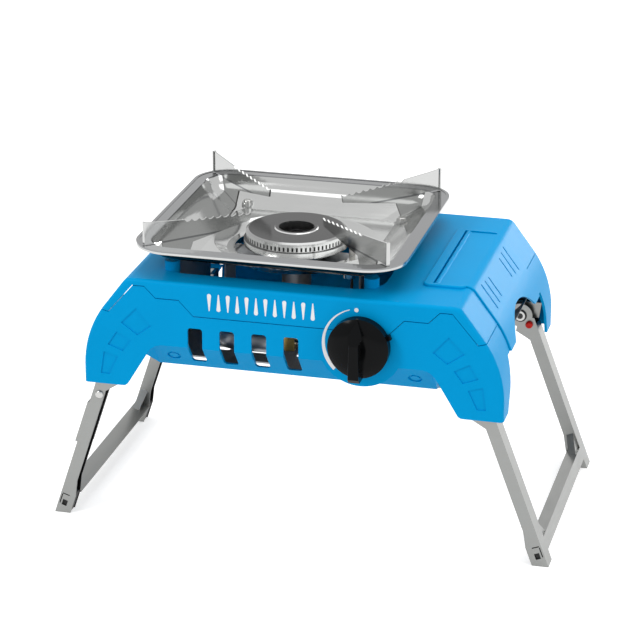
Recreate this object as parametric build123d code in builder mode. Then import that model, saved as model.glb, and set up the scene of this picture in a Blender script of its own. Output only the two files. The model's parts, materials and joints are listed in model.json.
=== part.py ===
"""Portable gas stove: arched housing, drip pan with pot supports, cartridge lid and folding legs."""
import os
from math import cos, pi, radians, sin, sqrt, tan

from build123d import *

os.makedirs("parts", exist_ok=True)

# Housing, seen from the front and measured from its middle
body_width = 396.0
body_depth = 260.0
body_top = 247.0
shoulder_x = body_width / 2 - 42.0
shoulder_round = 10.0
waist_x = body_width / 2 - 19.0
waist_z = 216.5
hip_x = body_width / 2 - 4.4
hip_z = 187.0
arm_top = 159.6
arm_bottom = 141.0
arm_inner_x = body_width / 2 - 40.8
arm_round = 6.0
arch_x = body_width / 2 - 67.2
arch_round = 17.0
wall = 2.6
edge_round = 3.5
seam_gap = 0.8
clear_cut = 10.0

# Chin, the strip of a panel that slopes back to the base
chin_top = 184.5
chin_back = 23.0
chin_half = arch_x + 0.7
facet_z = 174.1
facet_lap = 2.5
base_z = 158.0
chin_screw_x = arch_x - 16.8
chin_pocket_r = 6.5
chin_pocket_depth = 1.4
chin_screw_r = 4.2

# Seam between the panels and the top shell
seam_low_z = 215.6
seam_step_z = 230.1
seam_high_z = 240.8
seam_out_z = 214.4
seam_low_x = shoulder_x - 64.4
seam_step_in_x = shoulder_x - 50.5
seam_step_out_x = shoulder_x - 28.4
seam_high_in_x = shoulder_x - 17.9
seam_high_out_x = shoulder_x - 6.6
seam_dip_x = waist_x - 5.7
seam_dip_z = 213.0

# Vents in the front panel and pressed fields in both
vent_count = 4
vent_pitch = 30.3
vent_width = 14.2
vent_first_x = -90.3
vent_top = 204.0
vent_bottom = 165.6
vent_round = 3.0
emboss_depth = 1.0

# Side openings between the arms
arm_depth = 25.0
arm_depth_top = 44.0
skirt_z = 189.6
side_vent_front = 78.0
side_vent_top = 210.0

# Cartridge lid
lid_front = 54.0
lid_hinge_x = shoulder_x - 32.2
lid_hinge_z = 246.7
lid_bead_r = 2.8
lid_proud = 1.5
lid_round = 1.2
lid_rib = 8.0
lid_rib_wide = 2.4
lid_pin_r = 1.5
lid_pin_long = 8.0
lid_pin_out = 3.6
lid_groove_wide = 2.4
lid_groove_deep = 1.0
platform_rise = 2.4
platform_left_x = lid_hinge_x - 12.8
platform_margin = 5.0
platform_round = 6.0
platform_edge = 1.6
running_gap = 0.06

# Knob
knob_x = 65.5
knob_z = 203.4
knob_r = 28.3
knob_reach = 28.8
knob_gap = 1.8
knob_skirt = 9.0
knob_dome = 3.6
grip_low = 27.6
grip_wide = 10.4
grip_waist = 8.6
grip_round = 0.8
arrow_wide = 13.2
arrow_z = 16.0
arrow_start = 12.6
arrow_full_z = 9.0
lug_turn = 22.0
lug_long = 5.5
lug_wide = 4.5
lug_thick = 4.0
stem_r = 4.0
stem_hole_r = 6.0
stem_in = 26.0
stem_end_gap = 1.0
lobe_r = 40.2

# Drip pan
pan_x = -27.6
pan_y = body_depth / 2 - 1.2
pan_size = 255.5
pan_round = 37.0
pan_rim_z = 275.4
pan_sheet = 1.2
rim_wide = 11.0
rim_roll = 3.0
rim_inner_round = 28.0
pan_wall_z = 263.0
pan_wall_size = 223.0
pan_wall_round = 22.0
pan_bend_r = 14.0
pan_floor_z = 251.0
pan_floor_size = 162.0
pan_floor_round = 16.0
pan_well_r = 78.0
pan_well_low_r = 66.0
pan_well_deep = 6.0
pan_hole_r = 60.0
pan_boss_r = 5.6
pan_boss_rise = 1.5
pan_boss_at = 112.0
pan_boss_off = 10.0
pan_screw_r = 4.0
pan_screw_tall = 2.2
pan_screw_round = 0.9
opening_x = 211.0
opening_y = 205.0
opening_round = 26.0
collar_deep = 10.0
seat_r = 7.0
seat_x = 94.5
seat_y = 91.5

# Pot supports
blade_sheet = 1.6
blade_tip_r = 162.0
blade_tip_z = 297.6
blade_tooth_r = 120.0
blade_tooth_z = 293.0
blade_inner_r = 49.5
blade_inner_z = 288.6
blade_inner_low = 281.0
blade_foot_r = 117.0
blade_heel_r = 140.0
blade_teeth = 9
blade_fold = 1.9
blade_lift = 1.0
blade_tip_run = 12.0
blade_tip_fall = 1.6
blade_nose = 1.5
blade_foot_run = 6.0
blade_foot_drop = 5.0
blade_heel_run = 4.0
blade_fold_long = 2.0
tooth_deep = 2.2
seat_gap = 0.3

# Burner
burner_top = 265.8
cap_r = 47.9
cap_hole_r = 17.0
cap_sheet = 2.6
cap_low_z = 252.0
cap_step = 3.8
cap_slope = 1.3
cap_dip = 0.9
cap_ring = 3.0
cup_r = 50.0
cup_wall = 5.0
cup_bend_z = 250.0
cup_floor_r = 32.0
cup_sheet = 3.0
cup_rim_z = 255.5
cup_low_z = 240.0
neck_r = 14.0
neck_drop = 2.0
flame_slots = 72
inner_slots = 24
flame_wide = 1.8
flame_tall = 4.0
flame_low = 1.2
tube_z = 183.0
tube_r = 12.0
tube_sheet = 1.4
tube_bend_x = pan_x - 62.0
tube_bend = 15.0

# Gas train and ignition
reg_half = 18.0
reg_back = 50.0
reg_low = 188.0
reg_high = 222.0
reg_outlet_low = 175.0
reg_outlet_front = 32.0
reg_round = 5.0
gas_y = 42.0
gas_r = 3.0
jet_r = 6.5
jet_x = pan_x + 15.6
nozzle_long = 8.0
nozzle_in = 3.0
inlet_x = shoulder_x - 8.0
inlet_z = 200.0
inlet_r = 13.0
inlet_front = 28.0
inlet_back = 56.0
feed_r = 9.0
feed_y = 38.0
magnet_r = 24.0
magnet_long = 8.0
seal_r = 7.0
spark_r = 54.2
ceramic_r = 3.0
ceramic_below = 8.0
ceramic_above = 5.0
spark_below_cap = 4.0
lead_r = 1.4
lead_z = 204.0
lead_bend = 10.0
igniter_wide = 16.0
igniter_tall = 15.0
igniter_long = 37.0
igniter_round = 2.0

# Inner sheet pieces
sheet = 1.5
base_half = arch_x + 6.2
ear_long = 19.0
ear_top = 178.0
air_pitch_x = 44.0
air_pitch_y = 40.0
air_hole_x = 24.0
air_hole_y = 9.0
front_hole_x = 20.0
front_hole_y = 16.0
shield_front = 60.0
shield_room = 15.0
shield_clear = 1.0
side_shield_x = arch_x + 4.7
stand_clear = 19.9
stand_wide = 34.0
stand_z = 236.0
stand_foot = 14.0
stand_half = side_shield_x - air_hole_y - stand_foot + pan_x - stand_clear
cradle_r = 35.5
cradle_front = 64.0
cradle_back = body_depth - 54.0
cradle_rise = 10.65
cradle_leg_in = 6.0
cradle_leg_wide = 8.0
cradle_foot_long = 12.0
cradle_gap = 4.2

# Legs, each drawn about its pivot with x outward and y up along the leg
pivot_x = body_width / 2 - 27.2
pivot_z = 155.8
right_splay = 20.7
left_splay = 18.1
web_x = 12.4
leg_sheet = 1.4
leg_near = 6.0
leg_far = 24.0
flange_wide = 11.4
foot_wide = 14.6
foot_long = 24.0
foot_taper = 16.0
hinge_lobe = 12.0
hinge_skirt_x = 9.5
hinge_skirt_high = 14.0
hinge_skirt_low = 27.0
web_top = 13.0
pin_r = 3.6
pin_head_r = 5.0
pin_head = 1.6
side_gap = 0.4
bar_low = 10.5
bar_high = 23.6
right_bar_wide = 13.4
left_bar_wide = 15.6
gusset_leg = 16.0
gusset_in = 4.0
foot_hole_x = 6.0
foot_hole_up = 13.0
foot_hole_wide = 5.0
foot_hole_tall = 6.0
slit = 1.0

# Telescopic left legs
sleeve_gap = 0.4
sleeve_x = web_x + sleeve_gap + leg_sheet
sleeve_low = 87.7
sleeve_web_top = 44.4
inner_top = 28.8
rivet_x = 5.6
rivet_y = -32.3
rivet_r = 2.2
rivet_head_r = 4.1
leg_travel = 12.0

# Hinge brackets and lock buttons
bracket_sheet = 2.4
bracket_lobe = 7.4
bracket_step_x = pivot_x - 23.2
bracket_right = pivot_x + 19.7
bracket_low = 152.2
bracket_high = 168.0
bracket_left_low = 163.0
button_x = 5.6
button_y = -11.3
button_r = 3.6
button_out = 3.6
collar_r = 4.6
collar_wide = 2.0
button_slack = 0.1
button_press = 3.0
guide_in = 0.3
guide_r = 1.4
spring_r = 2.5
spring_wire = 0.35
spring_slack = 0.2
spring_turns = 5

# The frame stands at the middle of the whole stove
right_reach = pivot_x + pivot_z * tan(radians(right_splay)) + web_x / cos(radians(right_splay))
left_reach = pivot_x + pivot_z * tan(radians(left_splay)) + web_x / cos(radians(left_splay))
mid_x = (left_reach - right_reach) / 2
face_y = (knob_reach - max(body_depth, pan_y + pan_size / 2)) / 2


def front(depth):
    """Upright plane across the stove at a depth behind the front face, looking forward."""
    return Plane(origin=(mid_x, face_y + depth, 0), x_dir=(1, 0, 0), z_dir=(0, -1, 0))


def top(height):
    """Level plane at a height."""
    return Plane(origin=(mid_x, face_y, height))


def side(x):
    """Upright plane along the depth at a distance from the middle, looking right."""
    return Plane(origin=(mid_x + x, face_y, 0), x_dir=(0, 1, 0), z_dir=(1, 0, 0))


def outline(*points):
    """A face with straight sides."""
    with BuildSketch() as shape:
        with BuildLine():
            Polyline(*points, close=True)
        make_face()
    return shape.sketch


def housing_profile(bottom):
    """The housing's outer shape down to a height."""
    half = body_width / 2
    with BuildSketch() as shape:
        with BuildLine():
            FilletPolyline((0, body_top), (shoulder_x, body_top), (waist_x, waist_z), radius=shoulder_round)
            ThreePointArc((waist_x, waist_z), (hip_x, hip_z), (half, arm_top))
            Polyline((half, arm_top), (half, bottom), (0, bottom))
            mirror(about=Plane.YZ)
        make_face()
    return shape.sketch


def arch_profile():
    """What is open below the chin and between the arms."""
    reach = body_width / 2 + clear_cut
    low = arm_bottom - clear_cut
    with BuildSketch() as shape:
        with BuildLine():
            FilletPolyline(
                (0, chin_top), (arch_x, chin_top), (arm_inner_x, arm_bottom), (reach, arm_bottom),
                radius=[arch_round, arm_round],
            )
            Polyline((reach, arm_bottom), (reach, low), (0, low))
            mirror(about=Plane.YZ)
        make_face()
    return shape.sketch


def side_profile():
    """What is open in a side wall between the arms, with the shallow vent arch above."""
    low = arm_bottom - clear_cut
    back = body_depth
    with BuildSketch() as shape:
        with BuildLine():
            Polyline(
                (side_vent_front, skirt_z), (arm_depth_top, skirt_z), (arm_depth, arm_bottom), (arm_depth, low),
                (back - arm_depth, low), (back - arm_depth, arm_bottom), (back - arm_depth_top, skirt_z),
                (back - side_vent_front, skirt_z),
            )
            ThreePointArc(
                (back - side_vent_front, skirt_z), (back / 2, side_vent_top), (side_vent_front, skirt_z)
            )
        make_face()
    return shape.sketch


def seam_profile(shift):
    """What lies below the seam, moved up by a shift."""
    reach = body_width / 2 + clear_cut
    low = arm_bottom - clear_cut
    with BuildSketch() as shape:
        with BuildLine():
            Polyline(
                (0, seam_low_z + shift), (seam_low_x, seam_low_z + shift),
                (seam_step_in_x, seam_step_z + shift), (seam_step_out_x, seam_step_z + shift), (seam_high_in_x, seam_high_z + shift),
                (seam_high_out_x, seam_high_z + shift), (seam_dip_x, seam_dip_z + shift),
                (waist_x, seam_out_z + shift), (reach, seam_out_z + shift), (reach, low), (0, low),
            )
            mirror(about=Plane.YZ)
        make_face()
    return shape.sketch


def save(piece, name):
    """Names a piece and writes it."""
    piece.label = name
    export_step(piece, "parts/" + name + ".step")


# Hollow housing before it is parted at its seams
with BuildPart() as housing:
    with BuildSketch(front(body_depth)):
        add(housing_profile(arm_bottom - clear_cut / 2))
    extrude(amount=body_depth)
    ends = housing.faces().sort_by(Axis.Y)
    end_edges = ends[0].edges() + ends[-1].edges()
    fillet(end_edges.filter_by(lambda e: e.center().Z > arm_bottom), edge_round)
    with BuildSketch(front(body_depth - wall)):
        add(housing_profile(arm_bottom - 2 * clear_cut))
        offset(amount=-wall, kind=Kind.INTERSECTION)
    extrude(amount=body_depth - 2 * wall, mode=Mode.SUBTRACT)
    with BuildSketch(front(body_depth)):
        add(arch_profile())
    extrude(amount=body_depth, mode=Mode.SUBTRACT)
    with BuildSketch(side(-body_width)):
        add(side_profile())
    extrude(amount=2 * body_width, mode=Mode.SUBTRACT)

# One end panel: flat face, sloping chin, corner facets, arms and pressed fields
chin_len = sqrt(chin_back**2 + (chin_top - base_z) ** 2)
chin_slope = Plane(
    origin=(mid_x, face_y + chin_back / 2, (chin_top + base_z) / 2),
    x_dir=(1, 0, 0),
    z_dir=(0, -(chin_top - base_z) / chin_len, -chin_back / chin_len),
)
chin_thick = wall * chin_len / (chin_top - base_z)
facet_x = arch_x + (chin_top - facet_z) * (arm_inner_x - arch_x) / (chin_top - arm_bottom)


def chin_facet(hand):
    """Three-cornered plate that fills the corner between the chin and an arm."""
    high = Vector(mid_x + hand * arch_x, face_y, chin_top)
    out = Vector(mid_x + hand * facet_x, face_y, facet_z)
    low = Vector(mid_x + hand * chin_half, face_y + chin_back, base_z)
    along = (low - high).normalized()
    lap = ((high - out) - along * (high - out).dot(along)).normalized() * facet_lap
    normal = (out - high).cross(low - high) * hand
    plane = Plane(origin=high, x_dir=along, z_dir=normal)
    with BuildPart() as facet:
        with BuildSketch(plane):
            corners = [plane.to_local_coords(p) for p in (high + lap, out, low, low + lap)]
            add(outline(*[(c.X, c.Y) for c in corners]))
        extrude(amount=wall)
        with BuildSketch(top(base_z)):
            with Locations((0, body_depth / 2)):
                Rectangle(body_width, body_depth)
        extrude(amount=body_top - base_z, mode=Mode.INTERSECT)
    return facet.part


# Pressed fields of an end panel, each corner measured in from the side of the housing
emboss_fields = [
    [(51.4, 218.6), (36.8, 203.3), (52.4, 192.2), (66.0, 202.4)],
    [(46.3, 186.5), (38.0, 175.2), (23.6, 180.5), (32.0, 194.0)],
    [(33.0, 169.0), (24.5, 151.0), (16.0, 151.3), (19.4, 173.0)],
]
with BuildPart() as panel:
    add(housing.part)
    with BuildSketch(front(lid_front - seam_gap)):
        add(seam_profile(-seam_gap / 2))
    extrude(amount=lid_front + clear_cut, mode=Mode.INTERSECT)
    with BuildSketch(side(-chin_half)):
        add(outline(
            (0, chin_top), (chin_back, base_z), (chin_back + chin_thick, base_z),
            (wall, chin_top + wall), (0, chin_top + wall),
        ))
    extrude(amount=2 * chin_half)
    add(chin_facet(-1))
    add(chin_facet(1))
    with BuildSketch(front(emboss_depth)):
        for field in emboss_fields:
            add(outline(*[(body_width / 2 - x, z) for x, z in field]))
            add(outline(*[(x - body_width / 2, z) for x, z in field]))
    extrude(amount=emboss_depth + wall, mode=Mode.SUBTRACT)
    with BuildSketch(chin_slope):
        with Locations((-chin_screw_x, 0), (chin_screw_x, 0)):
            Circle(chin_pocket_r)
    extrude(amount=-chin_pocket_depth, mode=Mode.SUBTRACT)

# Round lobe under the knob
with BuildPart() as lobe:
    with BuildSketch(front(chin_back)):
        with Locations((knob_x, knob_z)):
            Circle(lobe_r)
    extrude(amount=chin_back)
    with BuildSketch(front(chin_back)):
        with Locations((knob_x, knob_z)):
            Circle(lobe_r - wall)
    extrude(amount=chin_back - wall, mode=Mode.SUBTRACT)
    with BuildSketch(side(knob_x - 2 * lobe_r)):
        add(outline(
            (0, chin_top + wall / 2), (wall / 2, chin_top), (chin_back + wall / 2, base_z), (0, base_z)
        ))
    extrude(amount=4 * lobe_r, mode=Mode.INTERSECT)

with BuildPart() as front_panel:
    add(panel.part)
    add(lobe.part)
    with BuildSketch(front(wall)):
        with Locations((knob_x, knob_z)):
            Circle(stem_hole_r)
    extrude(amount=wall + clear_cut, mode=Mode.SUBTRACT)
    with BuildSketch(front(chin_back + 2 * wall)):
        for i in range(vent_count):
            with Locations((vent_first_x + i * vent_pitch, (vent_top + vent_bottom) / 2)):
                RectangleRounded(vent_width, vent_top - vent_bottom, vent_round)
    extrude(amount=chin_back + 4 * wall, mode=Mode.SUBTRACT)
save(front_panel.part, "front_panel")

middle = Plane(origin=(mid_x, face_y + body_depth / 2, 0), x_dir=(1, 0, 0), z_dir=(0, 1, 0))
with BuildPart() as rear_panel:
    mirror(panel.part, about=middle)
save(rear_panel.part, "rear_panel")

def pan_height(reach):
    """Height of the pan's sloping floor at a point on its diagonal."""
    low = (pan_floor_size / 2 - pan_floor_round) * sqrt(2) + pan_floor_round - pan_sheet
    high = (pan_wall_size / 2 - pan_wall_round) * sqrt(2) + pan_wall_round - pan_sheet
    return pan_floor_z + pan_sheet + (pan_wall_z - pan_floor_z) * (reach - low) / (high - low)


seat_z = pan_height(sqrt(seat_x**2 + seat_y**2) - seat_r - pan_sheet) - pan_sheet - seat_gap

# Top shell with the pan opening, its collar and seats, and the raised platform round the lid
lid_edge = lid_hinge_x - lid_bead_r - seam_gap
platform_long = body_depth - 2 * lid_front + 2 * platform_margin
with BuildPart() as top_shell:
    add(housing.part)
    with BuildSketch(top(body_top - wall)):
        with Locations(((platform_left_x + shoulder_x) / 2 - platform_margin / 2, body_depth / 2)):
            RectangleRounded(shoulder_x - platform_left_x - platform_margin, platform_long, platform_round)
    extrude(amount=wall + platform_rise)
    fillet(top_shell.faces().sort_by(Axis.Z)[-1].edges(), platform_edge)
    with BuildSketch(front(lid_front)):
        add(seam_profile(seam_gap / 2))
    extrude(amount=lid_front + clear_cut, mode=Mode.SUBTRACT)
    with BuildSketch(front(body_depth + clear_cut)):
        add(seam_profile(seam_gap / 2))
    extrude(amount=lid_front + clear_cut, mode=Mode.SUBTRACT)
    with BuildSketch(top(arm_bottom)):
        with Locations((lid_edge + body_width / 2, body_depth / 2)):
            Rectangle(body_width, body_depth - 2 * lid_front)
    extrude(amount=body_top, mode=Mode.SUBTRACT)
    with BuildSketch(top(body_top - collar_deep)):
        with Locations((pan_x, pan_y)):
            RectangleRounded(opening_x + 2 * wall, opening_y + 2 * wall, opening_round + wall)
    extrude(amount=collar_deep)
    with BuildSketch(top(body_top - collar_deep)):
        with Locations((pan_x, pan_y)):
            RectangleRounded(opening_x, opening_y, opening_round)
    extrude(amount=2 * collar_deep, mode=Mode.SUBTRACT)
    with BuildSketch(top(body_top - collar_deep)):
        with Locations((pan_x, pan_y)):
            with GridLocations(2 * seat_x, 2 * seat_y, 2, 2):
                Circle(seat_r)
    extrude(amount=seat_z - body_top + collar_deep)
    with BuildSketch(front(lid_front + platform_margin)):
        with Locations((lid_hinge_x, lid_hinge_z)):
            Circle(lid_pin_r + running_gap)
    extrude(amount=platform_margin + lid_pin_out + seam_gap, mode=Mode.SUBTRACT)
    with BuildSketch(front(body_depth - lid_front + lid_pin_out + seam_gap)):
        with Locations((lid_hinge_x, lid_hinge_z)):
            Circle(lid_pin_r + running_gap)
    extrude(amount=platform_margin + lid_pin_out + seam_gap, mode=Mode.SUBTRACT)
save(top_shell.part, "top_shell")

# Cartridge lid: a proud skin with end ribs, a hinge bead and grooves on its slope
lid_near = lid_front + seam_gap
lid_long = body_depth - 2 * lid_near
slope_len = sqrt((waist_x - shoulder_x) ** 2 + (body_top - waist_z) ** 2)
slope_out_x = (body_top - waist_z) / slope_len
slope_out_z = (waist_x - shoulder_x) / slope_len
lid_slope = Plane(
    origin=(
        mid_x + (shoulder_x + waist_x) / 2 + lid_proud * slope_out_x,
        face_y + body_depth / 2,
        (body_top + waist_z) / 2 + lid_proud * slope_out_z,
    ),
    x_dir=(0, 1, 0),
    z_dir=(slope_out_x, 0, slope_out_z),
)
lid_grooves = [(27.0, 22.0), (40.5, 25.0), (54.0, 27.5)]
with BuildPart() as cartridge_lid:
    with BuildSketch(front(lid_near + lid_long)):
        add(housing_profile(arm_bottom))
        offset(amount=lid_proud)
    extrude(amount=lid_long)
    lid_ends = cartridge_lid.faces().sort_by(Axis.Y)
    lid_end_edges = lid_ends[0].edges() + lid_ends[-1].edges()
    fillet(lid_end_edges.filter_by(lambda e: e.center().Z > arm_bottom), lid_round)
    with BuildSketch(front(lid_near + lid_long - lid_rib_wide)):
        add(housing_profile(arm_bottom - clear_cut))
        offset(amount=lid_proud - wall, kind=Kind.INTERSECTION)
    extrude(amount=lid_long - 2 * lid_rib_wide, mode=Mode.SUBTRACT)
    with BuildSketch(front(lid_near + lid_long)):
        add(housing_profile(arm_bottom - clear_cut))
        offset(amount=lid_proud - lid_rib, kind=Kind.INTERSECTION)
    extrude(amount=lid_long, mode=Mode.SUBTRACT)
    with BuildSketch(top(arm_bottom - clear_cut)):
        with Locations((lid_hinge_x + body_width / 2, body_depth / 2)):
            Rectangle(body_width, body_depth)
    extrude(amount=body_top, mode=Mode.INTERSECT)
    with BuildSketch(side(0)):
        add(side_profile())
    extrude(amount=body_width, mode=Mode.SUBTRACT)
    with BuildSketch(front(lid_near + lid_long)):
        with Locations((lid_hinge_x, lid_hinge_z)):
            Circle(lid_bead_r)
    extrude(amount=lid_long)
    with BuildSketch(front(lid_near + lid_long)):
        with Locations((lid_hinge_x, lid_hinge_z)):
            Circle(lid_pin_r)
    extrude(amount=lid_pin_long, mode=Mode.SUBTRACT)
    with BuildSketch(front(lid_near + lid_pin_long)):
        with Locations((lid_hinge_x, lid_hinge_z)):
            Circle(lid_pin_r)
    extrude(amount=lid_pin_long, mode=Mode.SUBTRACT)
    with BuildSketch(lid_slope):
        for across, long in lid_grooves:
            with Locations((-across, 0), (across, 0)):
                SlotOverall(long, lid_groove_wide, rotation=90)
    extrude(amount=-lid_groove_deep, mode=Mode.SUBTRACT)
save(cartridge_lid.part, "cartridge_lid")

with BuildPart() as lid_hinge_pins:
    with BuildSketch(front(lid_near + lid_pin_long)):
        with Locations((lid_hinge_x, lid_hinge_z)):
            Circle(lid_pin_r)
    extrude(amount=lid_pin_long + lid_pin_out)
    with BuildSketch(front(lid_near + lid_long + lid_pin_out)):
        with Locations((lid_hinge_x, lid_hinge_z)):
            Circle(lid_pin_r)
    extrude(amount=lid_pin_long + lid_pin_out)
save(lid_hinge_pins.part, "lid_hinge_pins")

# Base plate with four ears for the hinge brackets, rows of air holes and two holes behind the vents
base_near = chin_back + chin_thick + seat_gap
base_long = body_depth - 2 * base_near
front_hole_at = base_near + sheet + front_hole_y / 2
with BuildPart() as base_plate:
    with BuildSketch(top(base_z)):
        with Locations((0, body_depth / 2)):
            Rectangle(2 * base_half, base_long)
            with GridLocations(air_pitch_x, air_pitch_y, 5, 4):
                RectangleRounded(air_hole_x, air_hole_y, air_hole_y / 3, mode=Mode.SUBTRACT)
        with Locations(
            (vent_first_x - vent_width / 2, front_hole_at),
            (vent_first_x + 2 * vent_pitch - vent_width / 2, front_hole_at),
        ):
            RectangleRounded(front_hole_x, front_hole_y, air_hole_y / 3, mode=Mode.SUBTRACT)
    extrude(amount=sheet)
    for hand in (-1, 1):
        with BuildSketch(top(base_z)):
            with Locations(
                (hand * (base_half - sheet / 2), base_near + ear_long / 2),
                (hand * (base_half - sheet / 2), body_depth - base_near - ear_long / 2),
            ):
                Rectangle(sheet, ear_long)
        extrude(amount=ear_top - base_z)
save(base_plate.part, "base_plate")

# Screw heads in the pockets of both chins
with BuildPart() as chin_screws:
    with BuildSketch(chin_slope.offset(-chin_pocket_depth)):
        with Locations((-chin_screw_x, 0), (chin_screw_x, 0)):
            Circle(chin_screw_r)
    extrude(amount=chin_pocket_depth - seat_gap)
    mirror(about=middle)
save(chin_screws.part, "chin_screws")

# Heat shield between the burner and the cartridge bay
shield_x = inlet_x - cradle_r - sheet - shield_room
shield_top = body_top - collar_deep - shield_clear
with BuildPart() as heat_shield:
    with BuildSketch(side(shield_x)):
        add(outline(
            (shield_front, base_z + sheet), (body_depth - base_near, base_z + sheet),
            (body_depth - base_near, shield_top), (shield_front, shield_top),
        ))
    extrude(amount=sheet)
    with BuildSketch(top(base_z + sheet)):
        with Locations((shield_x - air_hole_y / 2, body_depth / 2 + sheet)):
            Rectangle(air_hole_y, body_depth - 2 * shield_front)
    extrude(amount=sheet)
save(heat_shield.part, "heat_shield")

# Side shield behind the arch on the left
with BuildPart() as side_shield:
    with BuildSketch(side(-side_shield_x)):
        add(outline(
            (shield_front, base_z + sheet), (body_depth - shield_front, base_z + sheet),
            (body_depth - shield_front, shield_top), (shield_front, shield_top),
        ))
    extrude(amount=sheet)
    with BuildSketch(top(base_z + sheet)):
        with Locations((air_hole_y / 2 - side_shield_x, body_depth / 2)):
            Rectangle(air_hole_y, body_depth - 2 * shield_front)
    extrude(amount=sheet)
save(side_shield.part, "side_shield")

# Cradle, a trough under the cartridge on two feet
with BuildPart() as cartridge_cradle:
    with BuildSketch(front(cradle_back)):
        with Locations((inlet_x, inlet_z)):
            Circle(cradle_r + sheet)
        with Locations((base_half - cradle_leg_in, (base_z + sheet + inlet_z) / 2)):
            Rectangle(cradle_leg_wide, inlet_z - base_z - sheet)
        with Locations((inlet_x, inlet_z)):
            Circle(cradle_r, mode=Mode.SUBTRACT)
        with Locations((inlet_x, inlet_z - cradle_rise + 2 * cradle_r)):
            Rectangle(4 * cradle_r, 4 * cradle_r, mode=Mode.SUBTRACT)
    extrude(amount=cradle_back - cradle_front)
    with BuildSketch(front(cradle_back - cradle_foot_long)):
        with Locations((base_half - cradle_leg_in, base_z)):
            Rectangle(2 * cradle_leg_wide, 2 * (sheet + cradle_gap))
    extrude(amount=cradle_back - cradle_front - 2 * cradle_foot_long, mode=Mode.SUBTRACT)
save(cartridge_cradle.part, "cartridge_cradle")

# Regulator with the outlet block, the valve bore, the feed arm and the cartridge inlet
with BuildPart() as regulator_body:
    with BuildSketch(front(reg_back)):
        with Locations((knob_x, (reg_low + reg_high) / 2)):
            RectangleRounded(2 * reg_half, reg_high - reg_low, reg_round)
    extrude(amount=reg_back - wall)
    with BuildSketch(front(reg_back)):
        with Locations((knob_x, (reg_outlet_low + reg_low + reg_round) / 2)):
            Rectangle(2 * reg_half, reg_low + reg_round - reg_outlet_low)
    extrude(amount=reg_back - reg_outlet_front)
    with BuildSketch(side(knob_x + reg_half - wall)):
        with Locations((feed_y, inlet_z)):
            Circle(feed_r)
    extrude(amount=inlet_x - knob_x - reg_half + wall)
    with BuildSketch(front(inlet_back)):
        with Locations((inlet_x, inlet_z)):
            Circle(inlet_r)
    extrude(amount=inlet_back - inlet_front)
    with BuildSketch(front(inlet_back)):
        with Locations((inlet_x, inlet_z)):
            Circle(seal_r / 2)
    extrude(amount=seal_r, mode=Mode.SUBTRACT)
    with BuildSketch(front(stem_in + stem_end_gap)):
        with Locations((knob_x, knob_z)):
            Circle(stem_r + running_gap)
    extrude(amount=stem_in, mode=Mode.SUBTRACT)
save(regulator_body.part, "regulator_body")

with BuildPart() as magnet_ring:
    with BuildSketch(front(inlet_back - seat_gap)):
        with Locations((inlet_x, inlet_z)):
            Circle(magnet_r)
            Circle(inlet_r, mode=Mode.SUBTRACT)
    extrude(amount=magnet_long)
save(magnet_ring.part, "magnet_ring")

with BuildPart() as inlet_seal:
    with BuildSketch(front(inlet_back + sheet)):
        with Locations((inlet_x, inlet_z)):
            Circle(seal_r)
            Circle(seal_r / 2, mode=Mode.SUBTRACT)
    extrude(amount=sheet)
save(inlet_seal.part, "inlet_seal")

# Gas tube from the regulator to the jet, with its union nut
with BuildPart() as gas_tube:
    with BuildSketch(side(jet_x + jet_r)):
        with Locations((gas_y, tube_z)):
            Circle(gas_r)
    extrude(amount=knob_x - reg_half - jet_x - jet_r)
save(gas_tube.part, "gas_tube")

with BuildPart() as union_nut:
    with BuildSketch(side(jet_x + 2 * jet_r)):
        with Locations((gas_y, tube_z)):
            RegularPolygon(jet_r, 6)
            Circle(gas_r, mode=Mode.SUBTRACT)
    extrude(amount=jet_r)
save(union_nut.part, "union_nut")

with BuildPart() as gas_jet:
    with BuildSketch(front(gas_y + jet_r)):
        with Locations((jet_x, tube_z)):
            Rectangle(2 * jet_r, 2 * jet_r)
    extrude(amount=2 * jet_r)
    with BuildSketch(side(jet_x - jet_r - nozzle_long)):
        with Locations((gas_y, tube_z)):
            Circle(jet_r / 2)
    extrude(amount=nozzle_long)
save(gas_jet.part, "gas_jet")

# Mixing tube: a straight run behind the vents, a bend, and a run to the neck of the burner
burner_axis = Axis((mid_x + pan_x, face_y + pan_y, 0), (0, 0, 1))
tube_long = jet_x - jet_r - nozzle_long + nozzle_in - tube_bend_x


def tube_shape(thin):
    """The mixing tube's outside, or its inside when it is made thinner."""
    with BuildPart() as shape:
        with BuildLine():
            FilletPolyline(
                (mid_x + tube_bend_x + tube_long, face_y + gas_y, tube_z),
                (mid_x + tube_bend_x, face_y + gas_y, tube_z), (mid_x + pan_x, face_y + pan_y, tube_z),
                radius=tube_bend,
            )
        with BuildSketch(side(tube_bend_x + tube_long)):
            with Locations((gas_y, tube_z)):
                Circle(tube_r - thin)
        sweep()
        with BuildSketch(top(tube_z - tube_r - neck_drop + thin)):
            with Locations((pan_x, pan_y)):
                Circle(neck_r - thin)
        extrude(amount=stand_z - tube_z + neck_drop - thin)
    return shape.part


with BuildPart() as mixing_tube:
    add(tube_shape(0))
    add(tube_shape(tube_sheet), mode=Mode.SUBTRACT)
save(mixing_tube.part, "mixing_tube")

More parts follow.
